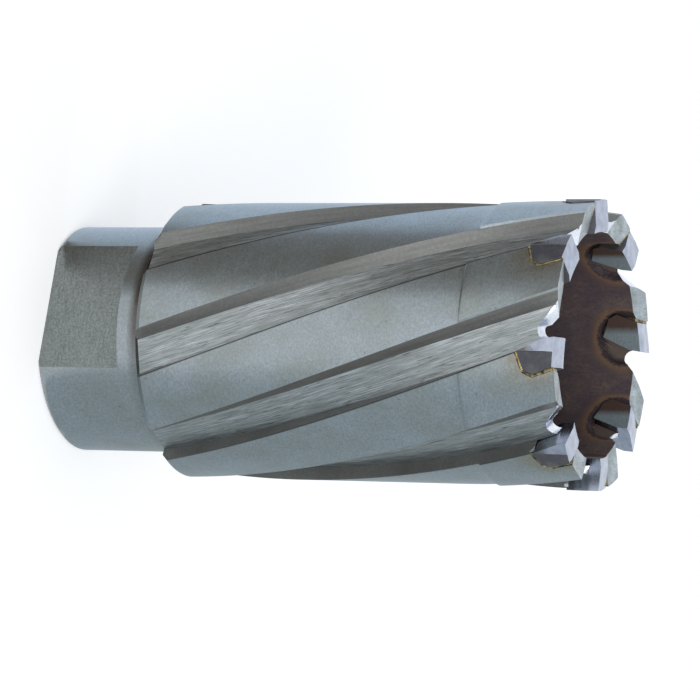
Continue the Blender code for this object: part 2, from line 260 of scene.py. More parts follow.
class Crown:
    """The toothed end over one tooth pitch, as columns of the body's mesh.

    The first columns follow the gullet and the tip's seat. Each lies between two corners of their
    outline, at its own share of the way. The corners of the gullet drop to the outside, because
    it is tilted. The other columns spread evenly over the steel behind the seat.
    """

    def __init__(self):
        seat = grown(tip_outline(), [SEAT_GAP, SEAT_GAP, BRAZE, BRAZE, BRAZE, 0.0])
        wall = (seat[5] - seat[4]) / (seat[5] - seat[4])[1]
        wall_top = seat[4] + wall * (STEEL_FRONT - seat[4][1])
        root = gullet_outline()
        lip_run = (seat[2] - seat[1]) / (seat[2] - seat[1])[1]
        lean = math.tan(GULLET_LEAN)
        lip_z = (lean * FRONT_Z - seat[1][0] + lip_run[0] * seat[1][1]) / (lip_run[0] + lean)
        lip = np.array([lean * (FRONT_Z - lip_z), lip_z])
        seat_corners = [lip, seat[2], seat[3], seat[4], wall_top]
        self.corners = np.vstack([root[0], root, *seat_corners])
        self.tilted = np.repeat([1, 0], [1 + len(root), len(seat_corners)])
        turns = self.outside_turns()
        to_lip = len(root) + 2
        fine, coarse = FINE_COLUMN / BODY_RADIUS, COARSE_COLUMN / BODY_RADIUS
        heel, land_end = turns[0], -BAND_TURN
        kinks = [-BACK_TURN, -FLOOR_TURN]
        flute_kinks = [kink for kink in kinks if kink > heel]
        before_wall = filled(sorted([*turns[:to_lip], *flute_kinks, 0.0]), fine)
        after_wall = filled([0.0, *turns[to_lip:]], coarse)
        back = [land_end, *[kink for kink in kinks if kink < heel], heel]
        free = np.concatenate(
            [
                filled([turns[-1], PITCH + land_end], coarse)[1:],
                filled([PITCH + turn for turn in back], fine)[1:-1],
            ]
        )
        self.turn = np.concatenate([before_wall, after_wall, free])
        self.slab = len(before_wall) + len(after_wall)
        self.count = len(self.turn)
        self.inside_flute = np.zeros(self.count, bool)
        self.inside_flute[: len(before_wall)] = True
        self.inside_flute |= self.turn > PITCH + land_end + 1e-6
        cut = flute_radius(self.turn)
        cut[len(before_wall) - 1] = FLOOR_RADIUS
        cut[len(before_wall)] = BAND_RADIUS - LAND_EDGE
        cut[len(before_wall) + 1 : self.slab] = 2 * BODY_RADIUS
        self.cut = cut
        self.outside = np.minimum(BAND_RADIUS, cut)
        steps = self.turn[: self.slab]
        self.index = np.clip(np.searchsorted(turns, steps, side="right") - 1, 0, len(turns) - 2)
        start, end = turns[self.index], turns[self.index + 1]
        self.share = np.clip((steps - start) / (end - start), 0.0, 1.0)
        self.lean = np.where(self.index == len(turns) - 2, HELIX_SLOPE, 0.0)
        outside = self.outside[self.slab :]
        first, last = self.ends(outside)
        azimuth = self.turn[self.slab :] + helix(face_height(outside))
        self.spread = (azimuth - first) / (last - first)

    def corner(self, index, radius):
        """Y and Z of the outline's corners at a radius. The first is the heel, on the front."""
        y, z = self.corners[index, 0], self.corners[index, 1]
        rise = np.sqrt(radius**2 - y**2)
        rise = self.tilted[index] * math.tan(GULLET_TILT) * (FLOOR_RADIUS - rise)
        y, z = y - math.tan(GULLET_LEAN) * rise, z + rise
        top = face_height(radius)
        heel = y - (top - z) / math.tan(GULLET_SLOPE)
        return np.where(index == 0, heel, y), np.where(index == 0, top, z)

    def outside_turns(self):
        """Turns at which the corners lie on the outside, by repeated substitution."""
        index = np.arange(len(self.corners))
        radius = np.full(len(index), BAND_RADIUS)
        for _ in range(20):
            y, z = self.corner(index, radius)
            turn = np.arcsin(y / radius) - helix(z)
            radius = 0.5 * radius + 0.5 * np.minimum(BAND_RADIUS, flute_radius(turn))
        turn[-1] = turn[-2] + SEAT_STEP / BODY_RADIUS
        return turn

    def ends(self, radius):
        """Azimuths between which the free columns spread at a radius: seat wall and next heel."""
        y, z = self.corners[-1]
        first = np.arcsin((y + HELIX_SLOPE * (z - face_height(radius))) / radius)
        heel, _ = self.corner(np.zeros(radius.shape, int), radius)
        return first, PITCH + np.arcsin(heel / radius)

    def at(self, radius):
        """Azimuth in the tooth's frame and height of the crown, for rows of radii by column."""
        near, far = radius[:, : self.slab], radius[:, self.slab :]
        y0, z0 = self.corner(self.index, near)
        y1, z1 = self.corner(self.index + 1, near)
        y, z = y0 + (y1 - y0) * self.share, z0 + (z1 - z0) * self.share
        low = np.minimum(z, face_height(near))
        y = y + self.lean * (z - low)
        first, last = self.ends(far)
        azimuth = np.hstack([np.arcsin(y / near), first + (last - first) * self.spread])
        return azimuth, np.hstack([low, face_height(far)])


def scoop(azimuth, height):
    """Depth of the round recess behind each tip in the bore, with a softly rounded rim."""
    across = BORE_RADIUS * np.sin(azimuth) - TIP_THICKNESS / 2
    distance = np.hypot(across, height - (FRONT_Z - SCOOP_DROP))
    share = np.clip((SCOOP_RADIUS - distance) / SCOOP_RIM + 0.5, 0.0, 1.0)
    return SCOOP_DEPTH * share * share * (3 - 2 * share)


def milled(across, along):
    """Unevenness of a milled floor: long waves side by side, each drifting as it goes along.

    It is a sum of sines of the place across, whose phase moves with the place along.
    """
    waves = (
        0.50 * np.sin(TAU * across / 0.93 + 0.21 * along + 1.7)
        + 0.35 * np.sin(TAU * across / 1.61 - 0.16 * along + 4.1)
        + 0.30 * np.sin(TAU * across / 0.62 + 0.09 * along + 0.6 * np.sin(along / 2.3))
        + 0.25 * np.sin(TAU * along / 3.7 + 2.2 * np.sin(across * 1.9))
    )
    return MILLED_UNEVENNESS * waves


GROOVE_LOW = SHANK_TOP - GROOVE_WIDTH
GROOVE_RADIUS = SHANK_RADIUS - GROOVE_DEPTH


def shank_radius(height):
    """Radius that the shank is turned to at a height: chamfer, cylinder and groove."""
    heights = [0.0, SHANK_EDGE, GROOVE_LOW, GROOVE_LOW + GROOVE_DEPTH, SHANK_TOP]
    radii = [SHANK_RADIUS - SHANK_EDGE, SHANK_RADIUS, SHANK_RADIUS, GROOVE_RADIUS, GROOVE_RADIUS]
    return np.interp(height, heights, radii)


def flat_radius(azimuth):
    """Radius of the wrench flats at an azimuth: their distance by the cosine of the angle.

    The angle stops short of a right one, where a flat is already far outside the shank.
    """
    from_flat = np.abs(np.mod(azimuth - FLAT_AZIMUTH + math.pi / 2, math.pi) - math.pi / 2)
    return FLAT_DISTANCE / np.cos(np.minimum(from_flat, 1.2))


def snapped(azimuth):
    """The columns' azimuths, eased so that a column lies on each edge of the wrench flats."""
    reach = math.acos(FLAT_DISTANCE / SHANK_RADIUS)
    edges = [FLAT_AZIMUTH + side * reach + half for half in (0, math.pi) for side in (-1, 1)]
    start = azimuth[0]
    edges = np.sort([start + (edge - start) % TAU for edge in edges])
    nearest = np.abs(azimuth[None, :] - edges[:, None]).argmin(axis=1)
    return np.interp(
        azimuth,
        [start, *azimuth[nearest], start + TAU],
        [start, *edges, start + TAU],
    )


def body_mesh():
    """The whole body as one closed ring-shaped grid.

    Columns run round the axis and follow the flutes. Rows run down the outside, over the back
    face, up through thread, web and bore, and out across the front face to where they began.
    """
    crown = Crown()
    n = crown.count
    count = n * TEETH
    base = FIRST_TOOTH + np.repeat(np.arange(TEETH), n) * PITCH

    def tile(rows):
        return np.tile(rows, (1, TEETH))

    rows = []

    def add(radius, azimuth, height, kind):
        radius, azimuth, height = np.broadcast_arrays(radius, azimuth, height)
        rows.append((radius, azimuth, height, np.full(len(radius), kind)))

    # Outside, from the crown's outer edge down to the shoulder
    _, top_out = crown.at(crown.outside[None, :])
    share = np.linspace(0.0, 1.0, CROWN_ROWS)[:, None]
    heights = top_out + (CROWN_LOW - top_out) * share
    ramp = np.linspace(-(BAND_LOW + BAND_RAMP), -BAND_LOW, 5)
    levels = -filled([-CROWN_LOW, *ramp, -(SHANK_TOP + SHOULDER_CHAMFER)], ROW_STEP)[1:]
    levels = np.concatenate([levels, [SHANK_TOP + SHOULDER_CHAMFER / 2, SHANK_TOP]])[:, None]
    heights = np.vstack([heights, np.broadcast_to(levels, (len(levels), n))])
    outside = np.minimum(blank_radius(heights), crown.cut)
    height = tile(heights)
    arc = np.tile(crown.turn * BODY_RADIUS, TEETH) + np.repeat(np.arange(TEETH), n) * PITCH_ARC
    fade = np.clip((height - SHANK_TOP) / 0.5, 0, 1) * np.clip((MILLED_TOP - height) / 3, 0, 1)
    ahead = np.mod(-crown.turn, PITCH)
    on_floor = tile((crown.inside_flute & (ahead < FLOOR_TURN - 0.004))[None, :])
    rough = milled(arc, height) * fade * on_floor
    azimuth = base + tile(crown.turn[None, :]) + helix(height)
    add(tile(outside) + rough, azimuth, height, OUTSIDE)

    # Shoulder, groove, shank with its flats, and back face
    foot = azimuth[-1:]
    straight = snapped(azimuth[-1])[None, :]
    edge_radius = tile(outside)[-1:] + rough[-1:]
    share = np.array([[0.35], [0.7], [1.0]])
    add(
        edge_radius + (GROOVE_RADIUS - edge_radius) * share,
        foot + (straight - foot) * share,
        SHANK_TOP,
        SHOULDER,
    )
    levels = np.array([GROOVE_LOW + GROOVE_DEPTH, GROOVE_LOW, FLAT_TOP])[:, None]
    add(shank_radius(levels), straight, levels, SHANK)
    levels = np.array([FLAT_TOP, 9.0, 7.0, 4.5, 2.0, SHANK_EDGE, 0.0])[:, None]
    flat = flat_radius(straight)
    shank = np.minimum(shank_radius(levels), flat)
    reached = flat[0] <= SHANK_RADIUS + 1e-6
    on_flat = reached & np.roll(reached, -1)
    add(shank, straight, levels, FLATTED)
    share = np.array([[0.3], [0.65]])
    mouth = THREAD_CREST_RADIUS + THREAD_LEAD_IN
    add(shank[-1:] + (mouth - shank[-1:]) * share, straight, 0.0, BACK_FACE)

    # Internal thread: root, flank and crest rows climb one pitch a turn, from the mouth to the web
    places = np.array([0.0, 0.24, 0.56, 0.68]) * THREAD_PITCH
    deep = np.array([1.0, 1.0, 0.0, 0.0])
    turns = math.ceil(THREAD_END / THREAD_PITCH) + 2
    climb = np.concatenate([places + k * THREAD_PITCH for k in range(turns)]) - 1.4 * THREAD_PITCH
    deep = np.tile(deep, turns)[:, None]
    climb = climb[:, None] + THREAD_PITCH * (straight - straight[0, 0]) / TAU
    height = np.clip(climb, 0.0, THREAD_END)
    depth = THREAD_ROOT_RADIUS - THREAD_CREST_RADIUS
    fade = np.clip((THREAD_END - height) / THREAD_RUN_OUT, 0.0, 1.0)
    thread = THREAD_CREST_RADIUS + depth * deep * fade
    add(np.maximum(thread, mouth - height), straight, height, THREAD)

    # Web, guide hole and bore
    add(np.array([[6.2], [GUIDE_RADIUS]]), straight, THREAD_END, GUIDE)
    add(GUIDE_RADIUS, straight, np.array([[13.2], [14.8], [WEB_TOP - GUIDE_EDGE]]), GUIDE)
    add(np.array([[GUIDE_RADIUS + GUIDE_EDGE], [8.0]]), straight, WEB_TOP, BORE)
    bend = np.linspace(-math.pi / 2, 0, 5)[:, None]
    add(
        BORE_RADIUS - BORE_ROOT + BORE_ROOT * np.cos(bend),
        straight,
        WEB_TOP + BORE_ROOT + BORE_ROOT * np.sin(bend),
        BORE,
    )
    rim = np.full((1, n), BORE_RADIUS)
    for _ in range(4):
        turn_in, top_in = crown.at(rim)
        rim = BORE_RADIUS + scoop(turn_in, top_in)
    bore_low = WEB_TOP + BORE_ROOT
    levels = np.linspace(bore_low, RECESS_LOW, BORE_ROWS)[1:, None]
    mix = np.clip((levels - UNWIND_LOW) / (RECESS_LOW - UNWIND_LOW), 0, 1)
    wound = straight - base[None, :]
    unwound = tile(turn_in)
    share = (RECESS_LOW - levels) / (RECESS_LOW - bore_low)
    even = (wound - helix(SHANK_TOP)) + helix(SHANK_TOP) * share
    add(BORE_RADIUS, base + even + (unwound - even) * mix, levels, BORE)
    share = np.linspace(0.0, 1.0, RECESS_ROWS)[1:, None]
    heights = RECESS_LOW + (top_in - RECESS_LOW) * share
    recessed = BORE_RADIUS + scoop(turn_in, heights)
    add(tile(recessed), base + tile(np.broadcast_to(turn_in, heights.shape)), tile(heights), BORE)
    bore_end = sum(len(part[0]) for part in rows) - 1

    # Front face, from the bore out
    share = np.array([0.09, 0.22, 0.36, 0.5, 0.64, 0.78, 0.91])[:, None]
    radius = rim + (crown.outside - rim) * share
    turn_face, top_face = crown.at(radius)
    add(tile(radius), base + tile(turn_face), tile(top_face), FRONT)

    radius, azimuth, height = (np.vstack([part[k] for part in rows]) for k in range(3))
    kinds = np.concatenate([part[3] for part in rows])
    points = np.stack([radius * np.cos(azimuth), radius * np.sin(azimuth), height], axis=-1)
    flute = np.tile(crown.inside_flute, TEETH)
    slots = np.zeros((len(kinds), count), int)
    floor = np.tile(crown.inside_flute & (ahead < FLOOR_TURN + 1e-6), TEETH)
    # The flute walls take the darker wall finish: on the back walls it is partly painted shade, on
    # each rake wall it is painted shade of the crevice alone
    slots[kinds == OUTSIDE] = np.where(flute, SHADED_FLUTE_WALL, GROUND)
    slots[(kinds == OUTSIDE)[:, None] & floor & np.roll(flute, -1)] = MILLED
    slots[kinds == FLATTED] = np.where(on_flat, WRENCH_FLAT, GROUND)
    slots[kinds == BORE] = HEAT_DARK
    gullet = np.tile(np.arange(n) < crown.slab - 1, TEETH)
    on_front = kinds == FRONT
    on_front[bore_end] = True
    slots[on_front] = np.where(gullet, POLISHED, FACED)
    slots[(kinds == THREAD) | (kinds == GUIDE)] = TAPPED
    faces, corner_arc = ring_faces(kinds, arc)
    corner_height = height.ravel()[faces]
    uv = np.stack([corner_arc, corner_height], axis=-1)
    return mesh_object(
        "fluted_body",
        points.reshape(-1, 3),
        faces,
        slots.ravel(),
        uv=uv,
        heat=tip_heat(radius, azimuth, height).ravel(),
    )


def ring_faces(kinds, arc):
    """Faces of a grid closed both ways, and each face corner's place round the ring in mm.

    Across the seam a thread row meets the row one pitch further on.
    """
    rows, count = len(kinds), len(arc)
    row, column = np.meshgrid(np.arange(rows), np.arange(count), indexing="ij")
    next_row = (row + 1) % rows
    next_column = (column + 1) % count
    thread = np.flatnonzero(kinds == THREAD)
    shifted = np.arange(rows)
    shifted[thread] = np.minimum(thread + THREAD_ROWS, thread[-1])
    seam = column == count - 1
    row_across = np.where(seam, shifted[row], row)
    next_across = np.where(seam, shifted[next_row], next_row)
    here = row * count + column
    below = next_row * count + column
    below_across = next_across * count + next_column
    across = row_across * count + next_column
    faces = np.stack([here, below, below_across, across], axis=-1).reshape(-1, 4)
    place = arc[column]
    next_place = arc[next_column] + np.where(seam, TEETH * PITCH_ARC, 0.0)
    corner_arc = np.stack([place, place, next_place, next_place], axis=-1).reshape(-1, 4)
    return faces, corner_arc


def tip_heat(radius, azimuth, height):
    """How strongly brazing tinted the steel: a bell curve of the distance from the nearest tip.

    It is exp(-(d / reach)^4). In the bore d counts from the middle of the tip's recess, and the
    bore's finish turns the band of it at the recess's rim into painted shade.
    """
    local = np.mod(azimuth - FIRST_TOOTH + PITCH / 2, PITCH) - PITCH / 2
    inside = radius < FLOOR_RADIUS
    middle, middle_z = TIP_MIDDLE
    across = radius * np.sin(local) - np.where(inside, TIP_THICKNESS / 2, middle)
    climb = np.where(inside, height - FRONT_Z + SCOOP_DROP, (height - middle_z) / HEAT_STRETCH)
    return np.exp(-((np.hypot(across, climb) / HEAT_REACH) ** 4))


def mesh_object(name, points, faces, slots=None, merge=0.001, sharp=28.0, uv=None, heat=None):
    """Put points in millimetres and their faces in a mesh, merge doubles and shade it."""
    mesh = bpy.data.meshes.new(name)
    mesh.from_pydata(points * MM, [], faces)
    if slots is not None:
        mesh.polygons.foreach_set("material_index", slots.astype(np.int32))
    if uv is not None:
        layer = mesh.uv_layers.new(name="surface")
        layer.data.foreach_set("uv", uv.astype(np.float32).ravel())
    if heat is not None:
        layer = mesh.attributes.new("tip_heat", "FLOAT", "POINT")
        layer.data.foreach_set("value", heat.astype(np.float32))
    bm = bmesh.new()
    bm.from_mesh(mesh)
    bmesh.ops.remove_doubles(bm, verts=bm.verts, dist=merge * MM)
    bmesh.ops.dissolve_degenerate(bm, edges=bm.edges, dist=merge * MM)
    bmesh.ops.recalc_face_normals(bm, faces=bm.faces)
    bm.to_mesh(mesh)
    bm.free()
    mesh.shade_smooth()
    mesh.set_sharp_from_angle(angle=math.radians(sharp))
    obj = bpy.data.objects.new(name, mesh)
    bpy.context.scene.collection.objects.link(obj)
    return obj


def along(path, steps):
    """Points spread over each side of a path of (Y, Z) corners, so many steps to a side."""
    path = np.asarray(path, float)
    parts = [
        a + (b - a) * np.linspace(0, 1, n, endpoint=False)[:, None]
        for a, b, n in zip(path, path[1:], steps)
    ]
    return np.vstack([*parts, path[-1:]])


def block(rows, count):
    """Grid of a solid swept along a path: its points, its faces and the length of a row's loop.

    Each row's loop goes over the outer surface from the near line to the far one, down the far
    side, back over the inner surface and up the near side. A point has its row, its column and its
    depth, which is 1 outside and 0 inside. A flat grid closes each end. Faces are numbered loop by
    loop, then the first end, then the last one.
    """
    side = np.array(BLOCK_SIDE)
    over = np.arange(count)
    ones = np.ones(len(side))
    column = np.concatenate([over, ones * (count - 1), over[::-1], ones * 0]).astype(int)
    depth = np.concatenate([over * 0 + 1.0, side, over * 0.0, side[::-1]])
    loop = len(column)
    row = np.repeat(np.arange(rows), loop)
    levels = np.concatenate([[1.0], side, [0.0]])
    cap = np.arange(len(levels) * count).reshape(len(levels), count)
    cap_faces = np.stack([cap[:-1, :-1], cap[1:, :-1], cap[1:, 1:], cap[:-1, 1:]], axis=-1)
    here = np.arange((rows - 1) * loop).reshape(rows - 1, loop)
    across = np.roll(here, -1, axis=1)
    wall = np.stack([here, across, across + loop, here + loop], axis=-1).reshape(-1, 4)
    cap_faces = cap_faces.reshape(-1, 4)
    first, last = rows * loop, rows * loop + cap.size
    ends = np.repeat([0, rows - 1], cap.size)
    return (
        np.concatenate([row, ends]),
        np.concatenate([np.tile(column, rows), np.tile(over, 2 * len(levels))]),
        np.concatenate([np.tile(depth, rows), np.tile(np.repeat(levels, count), 2)]),
        np.vstack([wall, cap_faces + first, cap_faces + last]),
        loop,
    )


def block_object(name, tooth, y, z, radius, faces, slots=None):
    """Wrap a block's points round the axis at its tooth, and close them to a mesh."""
    x = np.sqrt(radius**2 - y**2)
    turn = FIRST_TOOTH + tooth * PITCH
    cos, sin = math.cos(turn), math.sin(turn)
    points = np.stack([x * cos - y * sin, x * sin + y * cos, z], axis=-1)
    uv = np.stack([y[faces], z[faces]], axis=-1)
    return mesh_object(name, points, faces, slots, uv=uv, merge=0.0008)


def tip_object(tooth):
    """A carbide tip: a leaning block with a roof-shaped front and a ground margin on its outside.

    The margin is the triangle ahead of the axial line through the tip's foot. Behind that line
    the outside is left as it was sintered, a little lower and dark.
    """
    corner, bared, foot, low, high, rear_top = tip_outline()
    near = along([foot, bared, corner], [FOOT_ROWS, LIP_ROWS])
    far = along([low, high, rear_top], [REAR_ROWS, CREST_ROWS])
    rows = len(near)
    width = far[:, 0] - near[:, 0]
    margin = np.clip((foot[0] - near[:, 0]) / width, 0.02, 0.9)[:, None]
    ahead = margin * np.array([0.0, 0.04, 0.5, 1.0])
    behind = margin + (1 - margin) * np.array([0.035, 0.3, 0.6, 0.97, 1.0])
    across = np.hstack([ahead, behind])
    proud = CUTTING_RADIUS - np.array([0.13, 0, 0, 0, 1, 1, 1, 1, 1.5]) * PATCH_DEPTH
    row, column, depth, faces, loop = block(rows, len(proud))
    share = across[row, column]
    y, z = (near[row] + (far - near)[row] * share[:, None]).T
    radius = TIP_INNER + (proud[column] - TIP_INNER) * depth
    stops = [TIP_INNER, TIP_INNER + TIP_PEAK_INSET, CUTTING_RADIUS]
    drop = np.interp(radius, stops, [TIP_INNER_DROP, 0.0, TIP_OUTER_DROP])
    lowered = drop * np.clip((row - FOOT_ROWS) / LIP_ROWS, 0, 1)
    y = y + lowered * (math.tan(GULLET_LEAN) * (1 - share) + HELIX_SLOPE * share)
    face = np.arange(len(faces))
    place = np.where(face < (rows - 1) * loop, face % loop, 0)
    inner = len(proud) + len(BLOCK_SIDE)
    sintered = (place >= len(ahead[0]) - 1) & (place < inner)
    bore_side = (place >= inner) & (place < inner + len(proud) - 1)
    slots = sintered + 2 * bore_side
    return block_object(f"ground_tip_{tooth + 1}", tooth, y, z - lowered, radius, faces, slots)


def braze_object(tooth):
    """Braze that fills the joint round a tip's foot and back, with a hollow, uneven surface."""
    joint = np.array([0, 0, 1, 1, 1, 0])
    inside = grown(tip_outline(), 0.01 * joint)[2:]
    outside = grown(tip_outline(), (BRAZE - 0.01) * joint)[2:]
    near, far = along(outside, BRAZE_ROWS), along(inside, BRAZE_ROWS)
    rows = len(near)
    across = np.array([0.0, 0.08, 0.3, 0.55, 0.8, 0.95, 1.0])
    row, column, depth, faces, _ = block(rows, len(across))
    place = row * BRAZE_STEP + tooth * 5.1
    wave = 0.035 * np.sin(2.1 * place) + 0.03 * np.sin(5.3 * place + 1.3) - 0.03
    hollow = np.array([-0.05, 0.0, 0.02, 0.0, -0.03, -0.01, 0.03])
    strength = np.array([0.2, 1, 1, 1, 1, 0.6, 0.2])
    outer = BRAZE_OUTER + wave * strength[column] + hollow[column]
    y, z = (near[row] + (far - near)[row] * across[column][:, None]).T
    radius = BRAZE_INNER + (outer - BRAZE_INNER) * depth
    low = np.maximum(0.0, z[-1] - face_height(radius) + BRAZE_SUNK)
    lowered = low * np.clip((row - (rows - 1 - BRAZE_TOP_ROWS)) / BRAZE_TOP_ROWS, 0, 1)
    return block_object(
        f"braze_fillet_{tooth + 1}", tooth, y + lowered * HELIX_SLOPE, z - lowered, radius, faces
    )


def hex_linear(text):
    """An sRGB hex colour as linear RGBA."""
    parts = [int(text[i : i + 2], 16) / 255 for i in (1, 3, 5)]
    linear = [p / 12.92 if p <= 0.04045 else ((p + 0.055) / 1.055) ** 2.4 for p in parts]
    return (*linear, 1.0)


# Kinds of shader node that the finishes name often
NOISE = "ShaderNodeTexNoise"
PLACING = "ShaderNodeMapping"
RAMP = "ShaderNodeValToRGB"
SPAN = "ShaderNodeMapRange"
MIX = "ShaderNodeMix"
MATHS = "ShaderNodeMath"
SPLIT = "ShaderNodeSeparateXYZ"


def add_node(tree, kind, inputs=(), stops=(), **settings):
    """Add a node with its settings and a ramp's stops, and give its outputs.

    Inputs are values or sockets, for the first sockets in order or by a socket's number or name.
    """
    node = tree.nodes.new(kind)
    for name, value in settings.items():
        setattr(node, name, value)
    for socket, value in inputs.items() if isinstance(inputs, dict) else enumerate(inputs):
        if isinstance(value, bpy.types.NodeSocket):
            tree.links.new(value, node.inputs[socket])
        else:
            node.inputs[socket].default_value = value
    if stops:
        elements = node.color_ramp.elements
        while len(elements) < len(stops):
            elements.new(1.0)
        for element, (position, colour) in zip(elements, stops):
            element.position = position
            element.color = hex_linear(colour)
    return node.outputs


class Finish:
    """A Principled material in the making, with its tree and its coordinates.

    Solid coordinates are the object's own, in metres. Surface ones are the UV map, in millimetres:
    along the surface's circle and along the axis.
    """

    def __init__(self, name, metallic):
        self.material = bpy.data.materials.new(name)
        self.material.use_nodes = True
        self.tree = self.material.node_tree
        self.shader = self.tree.nodes["Principled BSDF"]
        self.shader.inputs["Metallic"].default_value = metallic
        coordinates = add_node(self.tree, "ShaderNodeTexCoord")
        self.solid = coordinates["Object"]
        self.surface = coordinates["UV"]

    def grain(self, source, scale, detail, roughness, turn=(0, 0, 0), distortion=0.0):
        """Pattern of grains, so many to a millimetre along each axis, once they are turned."""
        unit = 1.0 if source == self.surface else 1 / MM
        scale = [unit * size for size in scale]
        place = {"Vector": source, "Rotation": turn, "Scale": scale}
        place = add_node(self.tree, PLACING, place)["Vector"]
        grains = {"Vector": place, "Scale": 1.0, "Detail": detail, "Roughness": roughness}
        return add_node(self.tree, NOISE, {**grains, "Distortion": distortion})["Fac"]

    def tinted(self, colour, tint, strength, pattern, low, high, least=0.0, where=None):
        """A colour with a tint laid over it, more strongly as a pattern goes from low to high.

        The tint's share goes from least to its strength, times the value that says where it lies.
        """
        tint = hex_linear(tint) if isinstance(tint, str) else tint
        share = add_node(self.tree, SPAN, [pattern, low, high, least, strength])[0]
        if where is not None:
            share = add_node(self.tree, MATHS, [where, share], operation="MULTIPLY")[0]
        return add_node(self.tree, MIX, {0: share, 6: colour, 7: tint}, data_type="RGBA")[2]

    def finished(self, colour, pattern, roughness, depth=0.0, relief=None):
        """Link a colour, a roughness that a pattern varies, and the bumps of a pattern's depth."""
        inputs = self.shader.inputs
        self.tree.links.new(colour, inputs["Base Color"])
        rough = add_node(self.tree, SPAN, [pattern, 0.3, 0.7, *roughness])[0]
        self.tree.links.new(rough, inputs["Roughness"])
        if depth:
            height = {"Height": relief or pattern, "Distance": depth * MM}
            bump = add_node(self.tree, "ShaderNodeBump", height)[0]
            self.tree.links.new(bump, inputs["Normal"])
        return self.material


def ground_tool_steel():
    """Cylindrically ground steel: faint rings, a clouded grey, rare specks, tint by the tips.

    A painted shadow line darkens the edge of each land that leads into its flute, and painted shade
    browns the shank by the shoulder, most of all on the side of -X.
    """
    f = Finish("ground_tool_steel", metallic=1.0)
    cloud = f.grain(f.solid, (0.22, 0.22, 0.16), 4.0, 0.6)
    rings = f.grain(f.solid, (0.25, 0.25, 11.0), 2.0, 0.6)
    fine = f.grain(f.solid, (3.0, 3.0, 4.0), 3.0, 0.7)
    pits = f.grain(f.solid, (2.6, 2.6, 2.2), 1.0, 0.4)
    greys = (0.32, "#959c9a"), (0.5, "#9ba4a7"), (0.68, "#a2abb1")
    colour = add_node(f.tree, RAMP, [cloud], greys)["Color"]
    colour = f.tinted(colour, "#7b8081", 0.55, fine, 0.35, 0.65)
    colour = f.tinted(colour, "#3a3836", 0.4, pits, 0.76, 0.79)
    heat = add_node(f.tree, "ShaderNodeAttribute", attribute_name="tip_heat")["Fac"]
    colour = f.tinted(colour, "#867d66", 0.75, fine, 0.35, 0.6, least=0.35, where=heat)
    place = add_node(f.tree, SPLIT, [f.solid])
    shoulder = [(SHANK_TOP - 0.1) * MM, (SHANK_TOP + 0.1) * MM]
    above = add_node(f.tree, SPAN, [place["Z"], *shoulder, 0.0, 1.0])[0]
    across = add_node(f.tree, SPLIT, [f.surface])["X"]
    # Painted shade: a dark line on each land along its edge into the flute
    from_edge = add_node(f.tree, MATHS, [across, PITCH_ARC], operation="FLOORED_MODULO")[0]
    full, unshaded = PAINTED_EDGE_SHADE
    colour = f.tinted(colour, "#33322f", 0.85, from_edge, unshaded, full, where=above)
    # Painted shade: the shank turns brown below the shoulder, most of all on the side of -X
    on_shank = add_node(f.tree, MATHS, [1.0, above], operation="SUBTRACT")[0]
    heights = [height * MM for height in SHOULDER_SHADE_HEIGHTS]
    by_groove = add_node(f.tree, SPAN, [place["Z"], *heights, 0.0, 1.0])[0]
    by_groove = add_node(f.tree, MATHS, [by_groove, on_shank], operation="MULTIPLY")[0]
    sides = [side * MM for side in SHOULDER_SHADE_SIDES]
    side = add_node(f.tree, SPAN, [place["X"], *sides, 1.0, 0.2])[0]
    shoulder_shade = add_node(f.tree, MATHS, [by_groove, side], operation="MULTIPLY")[0]
    colour = f.tinted(colour, "#4b4038", 0.95, cloud, 0.3, 0.6, least=0.7, where=shoulder_shade)
    return f.finished(colour, rings, (0.29, 0.4), 0.0016)


def milled_tool_steel():
    """Flute floors as the mill left them: torn streaks along the flute, scratches, dark cracks."""
    f = Finish("milled_tool_steel", metallic=1.0)
    streaks = f.grain(f.surface, (7.0, 0.25, 1.0), 5.0, 0.7, distortion=0.4)
    wide = f.grain(f.surface, (1.1, 0.07, 1.0), 3.0, 0.6)
    tears = f.grain(f.surface, (8.0, 0.4, 1.0), 3.0, 0.6, distortion=0.8)
    greys = (0.3, "#737877"), (0.48, "#969b9c"), (0.66, "#c3c8cb")
    colour = add_node(f.tree, RAMP, [streaks], greys)["Color"]
    colour = f.tinted(colour, "#7c827f", 0.6, wide, 0.35, 0.65)
    colour = f.tinted(colour, "#3b3934", 0.8, tears, 0.6, 0.66)
    relief = add_node(f.tree, MATHS, [tears, 0.6, streaks], operation="MULTIPLY_ADD")[0]
    return f.finished(colour, streaks, (0.32, 0.5), 0.012, relief)


def shaded_side_milled_steel():
    """Flute walls: an even, oily olive grey with fine marks along the flute, darker partly for the
    milling and partly as painted shade.
    """
    f = Finish("shaded_side_milled_steel", metallic=0.6)
    marks = f.grain(f.surface, (4.0, 0.15, 1.0), 3.0, 0.6)
    fine = f.grain(f.solid, (3.0, 3.0, 3.0), 3.0, 0.7)
    greys = (0.35, "#6a6a67"), (0.65, "#787976")
    colour = add_node(f.tree, RAMP, [marks], greys)["Color"]
    colour = f.tinted(colour, "#5c5c59", 0.5, fine, 0.35, 0.65)
    return f.finished(colour, marks, (0.34, 0.46), 0.004)


def polished_tool_steel():
    """The gullets and the front, finished last with a fine wheel: bright, with hairline marks."""
    f = Finish("polished_tool_steel", metallic=1.0)
    hairs = f.grain(f.solid, (3.0, 3.0, 9.0), 4.0, 0.7)
    cloud = f.grain(f.solid, (0.6, 0.6, 0.6), 3.0, 0.5)
    greys = (0.35, "#ced4de"), (0.65, "#e9ecf2")
    colour = add_node(f.tree, RAMP, [cloud], greys)["Color"]
    colour = f.tinted(colour, "#949aa0", 0.4, hairs, 0.4, 0.75)
    return f.finished(colour, hairs, (0.14, 0.28), 0.003)


